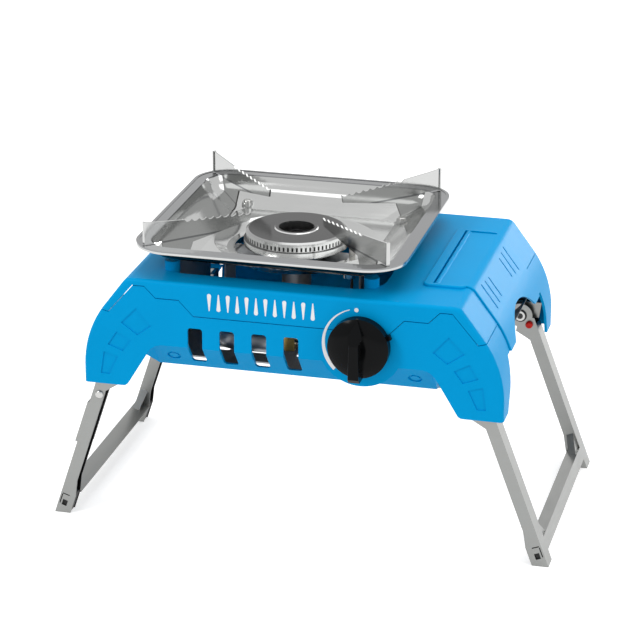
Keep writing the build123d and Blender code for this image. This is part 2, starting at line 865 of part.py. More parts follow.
# Burner cup and cap
burner_side = Plane(
    origin=(mid_x + pan_x, face_y + pan_y, 0), x_dir=(1, 0, 0), z_dir=(0, -1, 0)
)
neck_low = stand_z - tube_r
with BuildPart() as burner_body:
    with BuildSketch(burner_side):
        add(outline(
            (neck_r - tube_sheet, neck_low), (neck_r, neck_low), (neck_r, cup_low_z - cup_sheet / 2),
            (cup_floor_r, cup_low_z), (cup_r, cup_bend_z), (cup_r, cup_rim_z), (cup_r - cup_wall, cup_rim_z),
            (cup_r - cup_wall, cup_bend_z + cup_sheet / 2), (cup_floor_r - cup_sheet, cup_low_z + cup_sheet),
            (neck_r - tube_sheet, cup_low_z + cup_sheet / 2),
        ))
    revolve(axis=burner_axis)
save(burner_body.part, "burner_body")

with BuildPart() as burner_cap:
    with BuildSketch(burner_side):
        add(outline(
            (cap_hole_r, cap_low_z), (cap_hole_r + cap_sheet, cap_low_z),
            (cap_hole_r + cap_sheet, burner_top - cap_step), (cap_r - cap_sheet, burner_top - cap_step),
            (cap_r - cap_sheet, cup_rim_z), (cap_r, cup_rim_z), (cap_r, burner_top - cap_dip - cap_slope),
            (cap_r - cap_sheet, burner_top - cap_dip), (cap_hole_r + cap_ring + cap_dip, burner_top - cap_dip),
            (cap_hole_r + cap_ring, burner_top), (cap_hole_r, burner_top),
        ))
    revolve(axis=burner_axis)
    with BuildSketch(top(cup_rim_z + flame_low)):
        with Locations((pan_x, pan_y)):
            with PolarLocations(cap_r, flame_slots):
                Rectangle(3 * cap_sheet, flame_wide)
            with PolarLocations(cap_hole_r, inner_slots):
                Rectangle(3 * cap_sheet, flame_wide)
    extrude(amount=flame_tall, mode=Mode.SUBTRACT)
save(burner_cap.part, "burner_cap")

# Stand that carries the burner on the base
with BuildPart() as burner_stand:
    with BuildSketch(front(pan_y + stand_wide / 2)):
        with BuildLine():
            Polyline(
                (pan_x - stand_half - stand_foot, base_z + sheet), (pan_x - stand_half, base_z + sheet),
                (pan_x - stand_half, stand_z), (pan_x + stand_half, stand_z),
                (pan_x + stand_half, base_z + sheet), (pan_x + stand_half + stand_foot, base_z + sheet),
                (pan_x + stand_half + stand_foot, base_z + 2 * sheet),
                (pan_x + stand_half + sheet, base_z + 2 * sheet),
                (pan_x + stand_half + sheet, stand_z + sheet), (pan_x - stand_half - sheet, stand_z + sheet),
                (pan_x - stand_half - sheet, base_z + 2 * sheet),
                (pan_x - stand_half - stand_foot, base_z + 2 * sheet),
                close=True,
            )
        make_face()
    extrude(amount=stand_wide)
    with BuildSketch(top(stand_z)):
        with Locations((pan_x, pan_y)):
            Circle(neck_r + seat_gap)
        with Locations((pan_x + spark_r, pan_y)):
            Circle(ceramic_r)
    extrude(amount=sheet, mode=Mode.SUBTRACT)
save(burner_stand.part, "burner_stand")

# Spark electrode in its ceramic, the igniter and the lead between them
ceramic_low = stand_z - ceramic_below
ceramic_high = pan_floor_z + ceramic_above
with BuildPart() as spark_ceramic:
    with BuildSketch(top(ceramic_low)):
        with Locations((pan_x + spark_r, pan_y)):
            Circle(ceramic_r)
    extrude(amount=ceramic_high - ceramic_low)
save(spark_ceramic.part, "spark_ceramic")

with BuildPart() as spark_wire:
    with BuildSketch(top(ceramic_high)):
        with Locations((pan_x + spark_r, pan_y)):
            Circle(ceramic_r / 4)
    extrude(amount=burner_top - ceramic_high - spark_below_cap)
save(spark_wire.part, "spark_wire")

with BuildPart() as piezo_igniter:
    with BuildSketch(front(wall + igniter_long)):
        with Locations((pan_x + spark_r, lead_z)):
            RectangleRounded(igniter_wide, igniter_tall, igniter_round)
    extrude(amount=igniter_long)
save(piezo_igniter.part, "piezo_igniter")

with BuildPart() as ignition_lead:
    with BuildLine(Plane(origin=(mid_x + pan_x + spark_r, face_y, 0))):
        FilletPolyline(
            (0, wall + igniter_long, lead_z), (0, pan_y, lead_z), (0, pan_y, ceramic_low), radius=lead_bend
        )
    with BuildSketch(front(wall + igniter_long)):
        with Locations((pan_x + spark_r, lead_z)):
            Circle(lead_r)
    sweep()
save(ignition_lead.part, "ignition_lead")

# Knob and valve stem
knob_side = Plane(
    origin=(mid_x + knob_x, face_y, knob_z), x_dir=(1, 0, 0), z_dir=(0, 0, -1)
)
knob_axis = Axis((mid_x + knob_x, face_y, knob_z), (0, 1, 0))
with BuildPart() as knob_grip:
    with BuildSketch(front(-knob_gap - knob_skirt / 2)):
        add(outline(*[
            (knob_x + x / 2, knob_z + z) for x, z in (
                (0, knob_r), (arrow_wide, arrow_z), (grip_waist, arrow_full_z), (grip_wide, -grip_low),
                (-grip_wide, -grip_low), (-grip_waist, arrow_full_z), (-arrow_wide, arrow_z),
            )
        ]))
    extrude(amount=knob_reach - knob_gap - knob_skirt / 2)
    with BuildSketch(side(knob_x - knob_r)):
        add(outline(
            (0, knob_z + knob_r), (-arrow_start, knob_z + knob_r), (-knob_reach, knob_z + arrow_full_z),
            (-knob_reach, knob_z - grip_low + grip_waist / 2),
            (-knob_reach + grip_waist / 2, knob_z - grip_low),
            (0, knob_z - grip_low),
        ))
    extrude(amount=2 * knob_r, mode=Mode.INTERSECT)
    fillet(knob_grip.faces().sort_by(Axis.Y)[0].edges(), grip_round)

with BuildPart() as knob:
    with BuildSketch(knob_side):
        with BuildLine():
            Polyline((0, knob_gap), (knob_r, knob_gap), (knob_r, knob_gap + knob_skirt))
            ThreePointArc(
                (knob_r, knob_gap + knob_skirt), (knob_r * 0.86, knob_gap + knob_skirt + knob_dome * 0.6),
                (0, knob_gap + knob_skirt + knob_dome),
            )
            Line((0, knob_gap + knob_skirt + knob_dome), (0, knob_gap))
        make_face()
    revolve(axis=knob_axis)
    add(knob_grip.part)
    with BuildSketch(front(-knob_gap)):
        with Locations((
            knob_x + knob_r * cos(radians(lug_turn)), knob_z + knob_r * sin(radians(lug_turn))
        )):
            Rectangle(lug_long, lug_wide, rotation=lug_turn)
    extrude(amount=lug_thick)
    with BuildSketch(front(-knob_gap)):
        with Locations((knob_x, knob_z)):
            Circle(stem_r)
    extrude(amount=knob_skirt - knob_gap, mode=Mode.SUBTRACT)
save(knob.part, "knob")

with BuildPart() as valve_stem:
    with BuildSketch(front(stem_in)):
        with Locations((knob_x, knob_z)):
            Circle(stem_r)
    extrude(amount=stem_in + knob_skirt)
save(valve_stem.part, "valve_stem")


def dish(thick):
    """The pan's dish, made smaller by a thickness."""
    levels = [
        (pan_rim_z + thick, pan_size - 2 * rim_wide, rim_inner_round),
        (pan_wall_z + thick, pan_wall_size, pan_wall_round),
        (pan_floor_z + thick, pan_floor_size, pan_floor_round),
    ]
    with BuildPart() as bowl:
        for upper, lower in zip(levels, levels[1:]):
            for height, size, corner in (upper, lower):
                with BuildSketch(top(height)):
                    with Locations((pan_x, pan_y)):
                        RectangleRounded(size - 2 * thick, size - 2 * thick, corner - thick)
            loft()
        bend = bowl.edges().filter_by_position(Axis.Z, pan_wall_z + thick, pan_wall_z + thick)
        fillet(bend, pan_bend_r + pan_sheet - thick)
    return bowl.part


def around_pan(reach, off):
    """The four places at a reach along the pan's diagonals and a distance beside them."""
    places = []
    for quarter in range(4):
        turn = radians(45 + 90 * quarter)
        places.append(
            (pan_x + reach * cos(turn) + off * sin(turn), pan_y + reach * sin(turn) - off * cos(turn))
        )
    return places


def well(thick):
    """The round well in the pan's floor, made smaller by a thickness."""
    with BuildPart() as funnel:
        with BuildSketch(burner_side):
            add(outline(
                (0, pan_floor_z - pan_well_deep + thick), (pan_well_low_r, pan_floor_z - pan_well_deep + thick),
                (pan_well_r, pan_floor_z + thick), (0, pan_floor_z + thick),
            ))
        revolve(axis=burner_axis)
    return funnel.part


# Drip pan with its rim, screw bosses and the well round the burner
pan_boss_top = pan_height(pan_boss_at + pan_boss_r) + pan_boss_rise
with BuildPart() as drip_pan:
    add(dish(0))
    with BuildSketch(top(pan_rim_z - pan_sheet)):
        with Locations((pan_x, pan_y)):
            RectangleRounded(pan_size, pan_size, pan_round)
    extrude(amount=pan_sheet)
    with BuildSketch(top(pan_rim_z - rim_roll)):
        with Locations((pan_x, pan_y)):
            RectangleRounded(pan_size, pan_size, pan_round)
            RectangleRounded(
                pan_size - 2 * rim_roll, pan_size - 2 * rim_roll, pan_round - rim_roll, mode=Mode.SUBTRACT
            )
    extrude(amount=rim_roll + pan_sheet / 3)
    add(dish(pan_sheet), mode=Mode.SUBTRACT)
    with BuildSketch(top(pan_floor_z + pan_sheet / 2)):
        with Locations(*around_pan(pan_boss_at, pan_boss_off)):
            Circle(pan_boss_r)
    extrude(amount=pan_boss_top - pan_floor_z - pan_sheet / 2)
    add(well(0))
    add(well(pan_sheet), mode=Mode.SUBTRACT)
    with BuildSketch(top(pan_floor_z - clear_cut)):
        with Locations((pan_x, pan_y)):
            Circle(pan_hole_r)
    extrude(amount=4 * clear_cut, mode=Mode.SUBTRACT)
save(drip_pan.part, "drip_pan")

with BuildPart() as pan_screws:
    with BuildSketch(top(pan_boss_top)):
        with Locations(*around_pan(pan_boss_at, pan_boss_off)):
            Circle(pan_screw_r)
    extrude(amount=pan_screw_tall)
    fillet(pan_screws.faces().sort_by(Axis.Z)[-4:].edges(), pan_screw_round)
save(pan_screws.part, "pan_screws")


# Pot supports, four toothed blades on the diagonals of the pan
def pot_support(quarter):
    """One blade, drawn with its distance from the burner across and its height up."""
    turn = radians(45 + 90 * quarter)
    blade_plane = Plane(
        origin=(mid_x + pan_x, face_y + pan_y, 0),
        x_dir=(cos(turn), sin(turn), 0),
        z_dir=(sin(turn), -cos(turn), 0),
    )
    pitch = (blade_tooth_r - blade_inner_r) / blade_teeth
    fall = (blade_tooth_z - blade_inner_z) / blade_teeth
    crest = []
    for i in range(blade_teeth):
        reach = blade_tooth_r - i * pitch
        height = blade_tooth_z - i * fall
        crest.append((reach, height))
        crest.append((reach - pitch * 0.3, height - tooth_deep))
        crest.append((reach - pitch * 0.65, height - tooth_deep))
    with BuildPart() as blade:
        with BuildSketch(blade_plane):
            add(outline(
                (blade_tip_r, pan_rim_z + blade_lift), (blade_tip_r, blade_tip_z),
                (blade_tip_r - blade_tip_run, blade_tip_z - blade_tip_fall),
                *crest,
                (blade_inner_r, blade_inner_z), (blade_inner_r + blade_nose, blade_inner_low),
                (blade_foot_r - blade_foot_run, pan_rim_z - blade_foot_drop),
                (blade_foot_r, pan_height(blade_foot_r) + seat_gap),
                (blade_heel_r, pan_height(blade_heel_r) + seat_gap),
                (blade_heel_r + blade_heel_run, pan_rim_z + blade_lift),
            ))
        extrude(amount=blade_sheet / 2, both=True)
        with BuildSketch(blade_plane):
            with Locations((blade_tip_r - blade_fold_long / 2, (pan_rim_z + blade_lift + blade_tip_z) / 2)):
                Rectangle(blade_fold_long, blade_tip_z - pan_rim_z - blade_lift)
        extrude(amount=blade_fold, both=True)
    return blade.part


for quarter, place in enumerate(("rear_right", "rear_left", "front_left", "front_right")):
    save(pot_support(quarter), place + "_pot_support")


def leg_slab(hand, rear, near, far):
    """Plane of a leg for a slab between two depths; x runs outward and y up along the leg."""
    if rear:
        near, far = body_depth - far, body_depth - near
    splay = radians(right_splay if hand > 0 else left_splay)
    depth = far if hand > 0 else near
    return Plane(
        origin=(mid_x + hand * pivot_x, face_y + depth, pivot_z),
        x_dir=(hand * cos(splay), 0, sin(splay)),
        z_dir=(0, -hand, 0),
    )


def leg_length(hand):
    """Distance along the leg from the pivot to the ground at the outer face."""
    splay = radians(right_splay if hand > 0 else left_splay)
    return (pivot_z + web_x * sin(splay)) / cos(splay)


def foot_points(hand):
    """Lower end of a flange, from its outer edge to its inner one."""
    low = leg_length(hand)
    return [
        (web_x, -low - clear_cut), (web_x - foot_wide, -low - clear_cut), (web_x - foot_wide, foot_long - low),
        (web_x - flange_wide, foot_long + foot_taper - low),
    ]


def hinge_points():
    """Upper end of a flange, from its inner edge round the skirt to the pivot."""
    return [(web_x - flange_wide, -hinge_skirt_low), (-hinge_skirt_x, -hinge_skirt_high), (0, 0)]


def hinge_holes(hand, rear):
    """What is cut for the pivot pin and the lock button in the two flanges."""
    with BuildPart() as holes:
        with BuildSketch(leg_slab(hand, rear, leg_near, leg_far)):
            Circle(pin_r + running_gap)
        extrude(amount=leg_far - leg_near)
        with BuildSketch(leg_slab(hand, rear, leg_far - leg_sheet, leg_far)):
            with Locations((button_x, button_y)):
                Circle(button_r + running_gap)
        extrude(amount=leg_sheet)
        with BuildSketch(leg_slab(hand, rear, leg_near, leg_near + leg_sheet)):
            with Locations((button_x, button_y)):
                Circle(guide_r + running_gap)
        extrude(amount=leg_sheet)
    return holes.part


def foot_holes(hand, rear, near):
    """What is cut for the square hole and the angled slit in the outer flange."""
    low = leg_length(hand)
    with BuildPart() as holes:
        with BuildSketch(leg_slab(hand, rear, near, near + leg_sheet)):
            with Locations((foot_hole_x, foot_hole_up - low)):
                Rectangle(foot_hole_wide, foot_hole_tall)
            with Locations((foot_hole_x + slit, foot_hole_up + 1.5 * foot_hole_tall - low)):
                Rectangle(foot_hole_wide + 2 * slit, slit)
            with Locations((
                foot_hole_x + foot_hole_wide / 2 + 2 * slit, foot_hole_up + foot_hole_tall / 2 - low
            )):
                Rectangle(slit, 2 * foot_hole_wide)
        extrude(amount=leg_sheet)
    return holes.part


def solid_leg(hand, rear):
    """A leg in one piece: two flanges with hinge lobes and an outer web."""
    low = leg_length(hand)
    with BuildPart() as leg:
        for near in (leg_near, leg_far - leg_sheet):
            with BuildSketch(leg_slab(hand, rear, near, near + leg_sheet)):
                add(outline((web_x, -web_top / 2), *foot_points(hand), *hinge_points()))
                Circle(hinge_lobe)
            extrude(amount=leg_sheet)
        with BuildSketch(leg_slab(hand, rear, leg_near, leg_far)):
            add(outline(
                (web_x, -web_top), (web_x, -low - clear_cut), (web_x - leg_sheet, -low - clear_cut),
                (web_x - leg_sheet, -web_top),
            ))
        extrude(amount=leg_far - leg_near)
        add(hinge_holes(hand, rear), mode=Mode.SUBTRACT)
        add(foot_holes(hand, rear, leg_near), mode=Mode.SUBTRACT)
        split(bisect_by=Plane.XY, keep=Keep.TOP)
    return leg.part


def leg_sleeve(hand, rear):
    """Upper half of a telescopic leg: hinge flanges and a wider outer web lower down."""
    with BuildPart() as sleeve:
        for near in (leg_near, leg_far - leg_sheet):
            with BuildSketch(leg_slab(hand, rear, near, near + leg_sheet)):
                add(outline(
                    (web_x, -web_top / 2), (web_x, -sleeve_web_top), (sleeve_x, -sleeve_web_top),
                    (sleeve_x, -sleeve_low), (web_x - flange_wide, -sleeve_low), *hinge_points(),
                ))
                Circle(hinge_lobe)
            extrude(amount=leg_sheet)
        with BuildSketch(leg_slab(hand, rear, leg_near, leg_far)):
            add(outline(
                (sleeve_x, -sleeve_web_top), (sleeve_x, -sleeve_low), (sleeve_x - leg_sheet, -sleeve_low),
                (sleeve_x - leg_sheet, -sleeve_web_top),
            ))
        extrude(amount=leg_far - leg_near)
        add(hinge_holes(hand, rear), mode=Mode.SUBTRACT)
        with BuildSketch(leg_slab(hand, rear, leg_near, leg_near + leg_sheet)):
            with Locations((rivet_x, rivet_y)):
                Circle(rivet_r)
        extrude(amount=leg_sheet, mode=Mode.SUBTRACT)
    return sleeve.part


inner_near = leg_near + leg_sheet + sleeve_gap
inner_far = leg_far - leg_sheet - sleeve_gap


def inner_leg(hand, rear):
    """Lower half of a telescopic leg, with a slot for the guide rivet."""
    low = leg_length(hand)
    with BuildPart() as leg:
        for near in (inner_near, inner_far - leg_sheet):
            with BuildSketch(leg_slab(hand, rear, near, near + leg_sheet)):
                add(outline((web_x, -inner_top), *foot_points(hand), (web_x - flange_wide, -inner_top)))
            extrude(amount=leg_sheet)
        with BuildSketch(leg_slab(hand, rear, inner_near, inner_far)):
            add(outline(
                (web_x, -inner_top), (web_x, -low - clear_cut), (web_x - leg_sheet, -low - clear_cut),
                (web_x - leg_sheet, -inner_top),
            ))
        extrude(amount=inner_far - inner_near)
        with BuildSketch(leg_slab(hand, rear, inner_near, inner_near + leg_sheet)):
            with Locations((rivet_x, rivet_y - leg_travel / 2)):
                SlotCenterToCenter(leg_travel, 2 * (rivet_r + sleeve_gap), rotation=90)
        extrude(amount=leg_sheet, mode=Mode.SUBTRACT)
        add(foot_holes(hand, rear, inner_near), mode=Mode.SUBTRACT)
        split(bisect_by=Plane.XY, keep=Keep.TOP)
    return leg.part


def foot_bar(hand, near):
    """Angle bar between the front and rear foot on one side."""
    low = leg_length(hand)
    far = body_depth - near
    wide = right_bar_wide if hand > 0 else left_bar_wide
    with BuildPart() as bar:
        with BuildSketch(leg_slab(hand, False, near, far)):
            add(outline(
                (web_x, bar_low - low), (web_x, bar_high - low), (web_x - wide, bar_high - low),
                (web_x - wide, bar_high - leg_sheet - low), (web_x - leg_sheet, bar_high - leg_sheet - low),
                (web_x - leg_sheet, bar_low - low),
            ))
        extrude(amount=far - near)
    return bar.part


def foot_gussets(hand, near):
    """Three-cornered braces in the two corners of a foot frame."""
    splay = radians(right_splay if hand > 0 else left_splay)
    start = web_x - flange_wide + gusset_in - leg_sheet if hand > 0 else web_x - leg_sheet - seat_gap
    wide = flange_wide - gusset_in - seat_gap
    up = bar_high - leg_length(hand)
    far = body_depth - near
    corner_plane = Plane(
        origin=(mid_x + hand * (pivot_x + start * cos(splay)), face_y, pivot_z + start * sin(splay)),
        x_dir=(0, 1, 0),
        z_dir=(cos(splay), 0, hand * sin(splay)),
    )
    with BuildPart() as gussets:
        with BuildSketch(corner_plane):
            add(outline((near, up), (near + gusset_leg, up), (near, up + gusset_leg)))
            add(outline((far, up), (far, up + gusset_leg), (far - gusset_leg, up)))
        extrude(amount=wide)
    return gussets.part


save(solid_leg(1, False), "right_front_leg")
save(solid_leg(1, True), "right_rear_leg")
save(foot_bar(1, leg_far), "right_foot_bar")
save(foot_gussets(1, leg_far), "right_gussets")
save(leg_sleeve(-1, False), "left_front_sleeve")
save(leg_sleeve(-1, True), "left_rear_sleeve")
save(inner_leg(-1, False), "left_front_leg")
save(inner_leg(-1, True), "left_rear_leg")
save(foot_bar(-1, inner_far), "left_foot_bar")
save(foot_gussets(-1, inner_far), "left_gussets")

# Dome rivets that guide the left legs in their sleeves
rivet_tail = 1.2
with BuildPart() as guide_rivets:
    for rear in (False, True):
        with BuildSketch(leg_slab(-1, rear, leg_near, inner_near + leg_sheet + side_gap)):
            with Locations((rivet_x, rivet_y)):
                Circle(rivet_r)
        extrude(amount=inner_near + leg_sheet + side_gap - leg_near)
        with BuildSketch(
            leg_slab(-1, rear, inner_near + leg_sheet + side_gap, inner_near + leg_sheet + side_gap + rivet_tail)
        ):
            with Locations((rivet_x, rivet_y)):
                Circle(rivet_r + rivet_tail)
        extrude(amount=rivet_tail)
        with BuildSketch(leg_slab(-1, rear, leg_near - rivet_r, leg_near)):
            with Locations((rivet_x, rivet_y)):
                Circle(rivet_head_r)
        extrude(amount=rivet_r)
    heads = guide_rivets.faces().sort_by(Axis.Y)
    fillet(heads[0].edges() + heads[-1].edges(), rivet_r * 0.9)
save(guide_rivets.part, "guide_rivets")


# Hinge brackets: a sheet bent in two steps from the base's ear into the middle of a leg's channel
bracket_far = leg_far - leg_sheet - button_slack - collar_wide - button_press - 2 * seat_gap
bracket_foot = pivot_z - bracket_lobe


def hinge_bracket(hand, rear):
    """One bracket, cut to its front outline from its plan."""
    plan = [
        (base_half, base_near + ear_long), (base_half + bracket_sheet, base_near + ear_long),
        (base_half + bracket_sheet, base_near + bracket_sheet),
        (bracket_step_x + bracket_sheet, base_near + bracket_sheet),
        (bracket_step_x + bracket_sheet, bracket_far), (bracket_right, bracket_far), (bracket_right, bracket_far - bracket_sheet),
        (bracket_step_x, bracket_far - bracket_sheet), (bracket_step_x, base_near), (base_half, base_near),
    ]
    face = [
        (base_half, bracket_left_low), (pivot_x - bracket_lobe, bracket_left_low), (pivot_x, bracket_low),
        (bracket_right - bracket_sheet, bracket_low), (bracket_right, bracket_high),
        (pivot_x - bracket_lobe, bracket_high), (bracket_step_x + bracket_sheet, ear_top), (base_half, ear_top),
    ]
    with BuildPart() as bracket:
        with BuildSketch(top(bracket_foot)):
            add(outline(*[(hand * x, body_depth - y if rear else y) for x, y in plan]))
        extrude(amount=ear_top - bracket_foot)
        with BuildSketch(front(body_depth)):
            add(outline(*[(hand * x, z) for x, z in face]))
            with Locations((hand * pivot_x, pivot_z)):
                Circle(bracket_lobe)
                Circle(pin_r, mode=Mode.SUBTRACT)
        extrude(amount=body_depth, mode=Mode.INTERSECT)
    return bracket.part


for hand, where in ((1, "right"), (-1, "left")):
    for rear, end in ((False, "front"), (True, "rear")):
        save(hinge_bracket(hand, rear), where + "_" + end + "_bracket")

# Screws that hold the bracket tabs to the ears of the base
screw_r = 3.4
screw_head = 2.0
with BuildPart() as bracket_screws:
    for hand in (-1, 1):
        start = base_half + bracket_sheet if hand > 0 else -base_half - bracket_sheet - screw_head
        with BuildSketch(side(start)):
            for y in (base_near + ear_long / 2, body_depth - base_near - ear_long / 2):
                with Locations((y, (bracket_left_low + ear_top) / 2)):
                    Circle(screw_r)
        extrude(amount=screw_head)
save(bracket_screws.part, "bracket_screws")

# Pivot pins of the four hinges
with BuildPart() as hinge_pins:
    for hand in (-1, 1):
        for rear in (False, True):
            for near, far, r in (
                (leg_near - side_gap - pin_head, leg_near - side_gap, pin_head_r),
                (leg_near - side_gap, leg_far + side_gap, pin_r),
                (leg_far + side_gap, leg_far + side_gap + pin_head, pin_head_r),
            ):
                with BuildSketch(leg_slab(hand, rear, near, far)):
                    Circle(r)
                extrude(amount=far - near)
save(hinge_pins.part, "hinge_pins")


# Lock buttons: a head through the inner flange, a collar behind it and a guide into the outer flange
def lock_button(hand, rear):
    """One button."""
    collar_far = leg_far - leg_sheet - button_slack
    steps = (
        (leg_near + guide_in, collar_far - collar_wide, guide_r),
        (collar_far - collar_wide, collar_far, collar_r),
        (collar_far, leg_far + button_out, button_r),
    )
    with BuildPart() as button:
        for near, far, r in steps:
            with BuildSketch(leg_slab(hand, rear, near, far)):
                with Locations((button_x, button_y)):
                    Circle(r)
            extrude(amount=far - near)
        tip = button.faces().sort_by(Axis.Y)[0 if rear else -1]
        fillet(tip.edges(), button_r * 0.5)
    return button.part


def lock_spring(hand, rear):
    """Coil between the button's collar and the outer flange, in arcs of a quarter turn."""
    near = leg_near + leg_sheet + spring_wire + spring_slack
    far = leg_far - leg_sheet - button_slack - collar_wide - spring_wire - spring_slack
    pitch = (far - near) / spring_turns
    quarters = 4 * spring_turns
    slope = pitch / (2 * pi * spring_r)
    size = sqrt(1 + slope**2)

    plane = leg_slab(hand, rear, near, far)

    def point(i):
        turn = i * pi / 2
        across = button_x + spring_r * cos(turn)
        return plane.from_local_coords(Vector(across, button_y + spring_r * sin(turn), i * pitch / 4))

    def heading(i):
        turn = i * pi / 2
        return plane.x_dir * (-sin(turn) / size) + plane.y_dir * (cos(turn) / size) + plane.z_dir * (slope / size)

    with BuildPart() as spring:
        with BuildLine():
            for i in range(quarters):
                p0, p1, t0, t1 = point(i), point(i + 1), heading(i), heading(i + 1)
                v = p0 - p1
                a = 2 * (t0.dot(t1) - 1)
                b = 2 * v.dot(t0 + t1)
                d = (-b - sqrt(b * b - 4 * a * v.dot(v))) / (2 * a)
                q0 = p0 + t0 * d
                q1 = p1 - t1 * d
                joint = (q0 + q1) * 0.5
                TangentArc(p0, joint, tangent=t0)
                TangentArc(joint, p1, tangent=q1 - q0)
        with BuildSketch(Plane(origin=point(0), z_dir=heading(0))):
            Circle(spring_wire)
        sweep()
    return spring.part


for hand, where in ((1, "right"), (-1, "left")):
    for rear, end in ((False, "front"), (True, "rear")):
        save(lock_button(hand, rear), where + "_" + end + "_button")
        save(lock_spring(hand, rear), where + "_" + end + "_spring")
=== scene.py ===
"""Portable gas stove: finishes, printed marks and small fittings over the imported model."""

import json
from math import atan2, cos, pi, radians, sin

import bmesh
import bpy
from mathutils import Matrix, Vector


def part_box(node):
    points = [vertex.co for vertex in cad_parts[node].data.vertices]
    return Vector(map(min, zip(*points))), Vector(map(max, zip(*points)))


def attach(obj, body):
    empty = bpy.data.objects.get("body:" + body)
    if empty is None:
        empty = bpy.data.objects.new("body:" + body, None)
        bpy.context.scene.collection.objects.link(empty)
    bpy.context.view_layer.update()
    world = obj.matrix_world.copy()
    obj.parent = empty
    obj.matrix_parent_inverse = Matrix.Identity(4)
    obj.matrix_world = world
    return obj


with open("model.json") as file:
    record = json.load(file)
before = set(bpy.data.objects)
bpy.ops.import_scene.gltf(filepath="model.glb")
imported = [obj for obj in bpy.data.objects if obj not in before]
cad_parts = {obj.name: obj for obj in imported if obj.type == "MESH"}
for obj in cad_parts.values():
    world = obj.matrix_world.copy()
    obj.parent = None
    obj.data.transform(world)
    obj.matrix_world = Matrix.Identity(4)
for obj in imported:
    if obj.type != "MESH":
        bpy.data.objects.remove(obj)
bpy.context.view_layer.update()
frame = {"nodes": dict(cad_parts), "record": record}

# Places on the stove are given in millimetres from the middle of the housing's front face and the ground
MM = 0.001
panel_low, panel_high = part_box("front_panel")
MID_X = (panel_low[0] + panel_high[0]) / 2
FACE_Y = panel_low[1]
BODY_DEPTH = 260.0
WHITE = (1.0, 1.0, 1.0, 1.0)


def at(x, y, z):
    """A point of the stove in the scene, in metres."""
    return Vector((MID_X + x * MM, FACE_Y + y * MM, z * MM))


# Camera at the photograph's viewing angle
CAMERA_YAW = radians(14.10)
CAMERA_PITCH = radians(20.80)
CAMERA_ROLL = radians(0.205)
CAMERA_DISTANCE = 2395.3 * MM
CAMERA_LENS = 149.4
CAMERA_SENSOR = 36.0
CAMERA_FAR = 20.0
CAMERA_TARGET = at(27.9, 0.0, 223.9)

camera_data = bpy.data.cameras.new("camera")
camera_data.sensor_width = CAMERA_SENSOR
camera_data.lens = CAMERA_LENS
camera_data.clip_end = CAMERA_FAR
camera = bpy.data.objects.new("camera", camera_data)
bpy.context.scene.collection.objects.link(camera)
back = Vector((sin(CAMERA_YAW) * cos(CAMERA_PITCH), -cos(CAMERA_YAW) * cos(CAMERA_PITCH), sin(CAMERA_PITCH)))
level = Vector((cos(CAMERA_YAW), sin(CAMERA_YAW), 0.0))
upright = back.cross(level)
right = level * cos(CAMERA_ROLL) + upright * sin(CAMERA_ROLL)
up = upright * cos(CAMERA_ROLL) - level * sin(CAMERA_ROLL)
camera_turn = Matrix((right, up, back)).transposed().to_4x4()
camera.matrix_world = Matrix.Translation(CAMERA_TARGET + back * CAMERA_DISTANCE) @ camera_turn
bpy.context.scene.camera = camera
bpy.context.scene.view_settings.view_transform = "Standard"


# Light: a white surround and four soft lamps, in metres and watts
SURROUND_LIGHT = 0.60
SURROUND_SEEN = 1.0


def soft_lamp(name, place, aim, size, watts):
    """A square area lamp turned to a point."""
    data = bpy.data.lights.new(name, "AREA")
    data.shape = "SQUARE"
    data.size = size
    data.energy = watts
    lamp = bpy.data.objects.new(name, data)
    bpy.context.scene.collection.objects.link(lamp)
    lamp.location = place
    lamp.rotation_euler = (Vector(aim) - Vector(place)).to_track_quat("-Z", "Y").to_euler()


soft_lamp("lamp_left", place=(-1.3, -1.5, 1.7), aim=(0.0, 0.0, 0.15), size=0.8, watts=18.0)
soft_lamp("lamp_top", place=(0.2, 0.3, 2.0), aim=(0.0, 0.0, 0.2), size=1.6, watts=12.0)
soft_lamp("lamp_right", place=(1.8, -0.9, 1.0), aim=(0.0, 0.0, 0.15), size=1.2, watts=7.0)
soft_lamp("lamp_rear", place=(1.0, 2.0, 0.55), aim=(0.1, 0.0, 0.2), size=0.7, watts=14.0)


def seen_mask(nodes, links):
    """One where the surround is seen, straight or in a surface, and nought where it only gives light."""
    path = nodes.new("ShaderNodeLightPath")
    mask = path.outputs["Is Camera Ray"]
    for ray in ("Is Glossy Ray", "Is Transmission Ray"):
        wider = nodes.new("ShaderNodeMath")
        wider.operation = "MAXIMUM"
        links.new(mask, wider.inputs[0])
        links.new(path.outputs[ray], wider.inputs[1])
        mask = wider.outputs[0]
    return mask


world = bpy.data.worlds.new("studio")
bpy.context.scene.world = world
world.use_nodes = True
world_nodes = world.node_tree.nodes
world_links = world.node_tree.links
world_nodes.clear()
world_out = world_nodes.new("ShaderNodeOutputWorld")
world_seen = seen_mask(world_nodes, world_links)
world_mix = world_nodes.new("ShaderNodeMixShader")
world_links.new(world_seen, world_mix.inputs[0])
for socket, strength in ((1, SURROUND_LIGHT), (2, SURROUND_SEEN)):
    surround = world_nodes.new("ShaderNodeBackground")
    surround.inputs["Color"].default_value = WHITE
    surround.inputs["Strength"].default_value = strength
    world_links.new(surround.outputs[0], world_mix.inputs[socket])
world_links.new(world_mix.outputs[0], world_out.inputs["Surface"])


# Shared surface effects, and a mask for painted shade in the leg channels
RELIEF_DETAIL = 2.0
RELIEF_CLOUD_SCALE = 14.0
RELIEF_CLOUD_LOW = 0.93
RELIEF_CLOUD_HIGH = 1.07
STREAK_SCALE = 40.0
STREAK_DETAIL = 3.0
STREAK_SHARE = 0.5
GRAIN_CLOUD_SCALE = 18.0
GRAIN_CLOUD_SHARE = 0.5
GRAIN_FROM = 0.3
GRAIN_TO = 0.7
CHANNEL_Y = 15.0
CHANNEL_WEB_REACH = 0.12
CHANNEL_FLANGE_REACH = 0.004


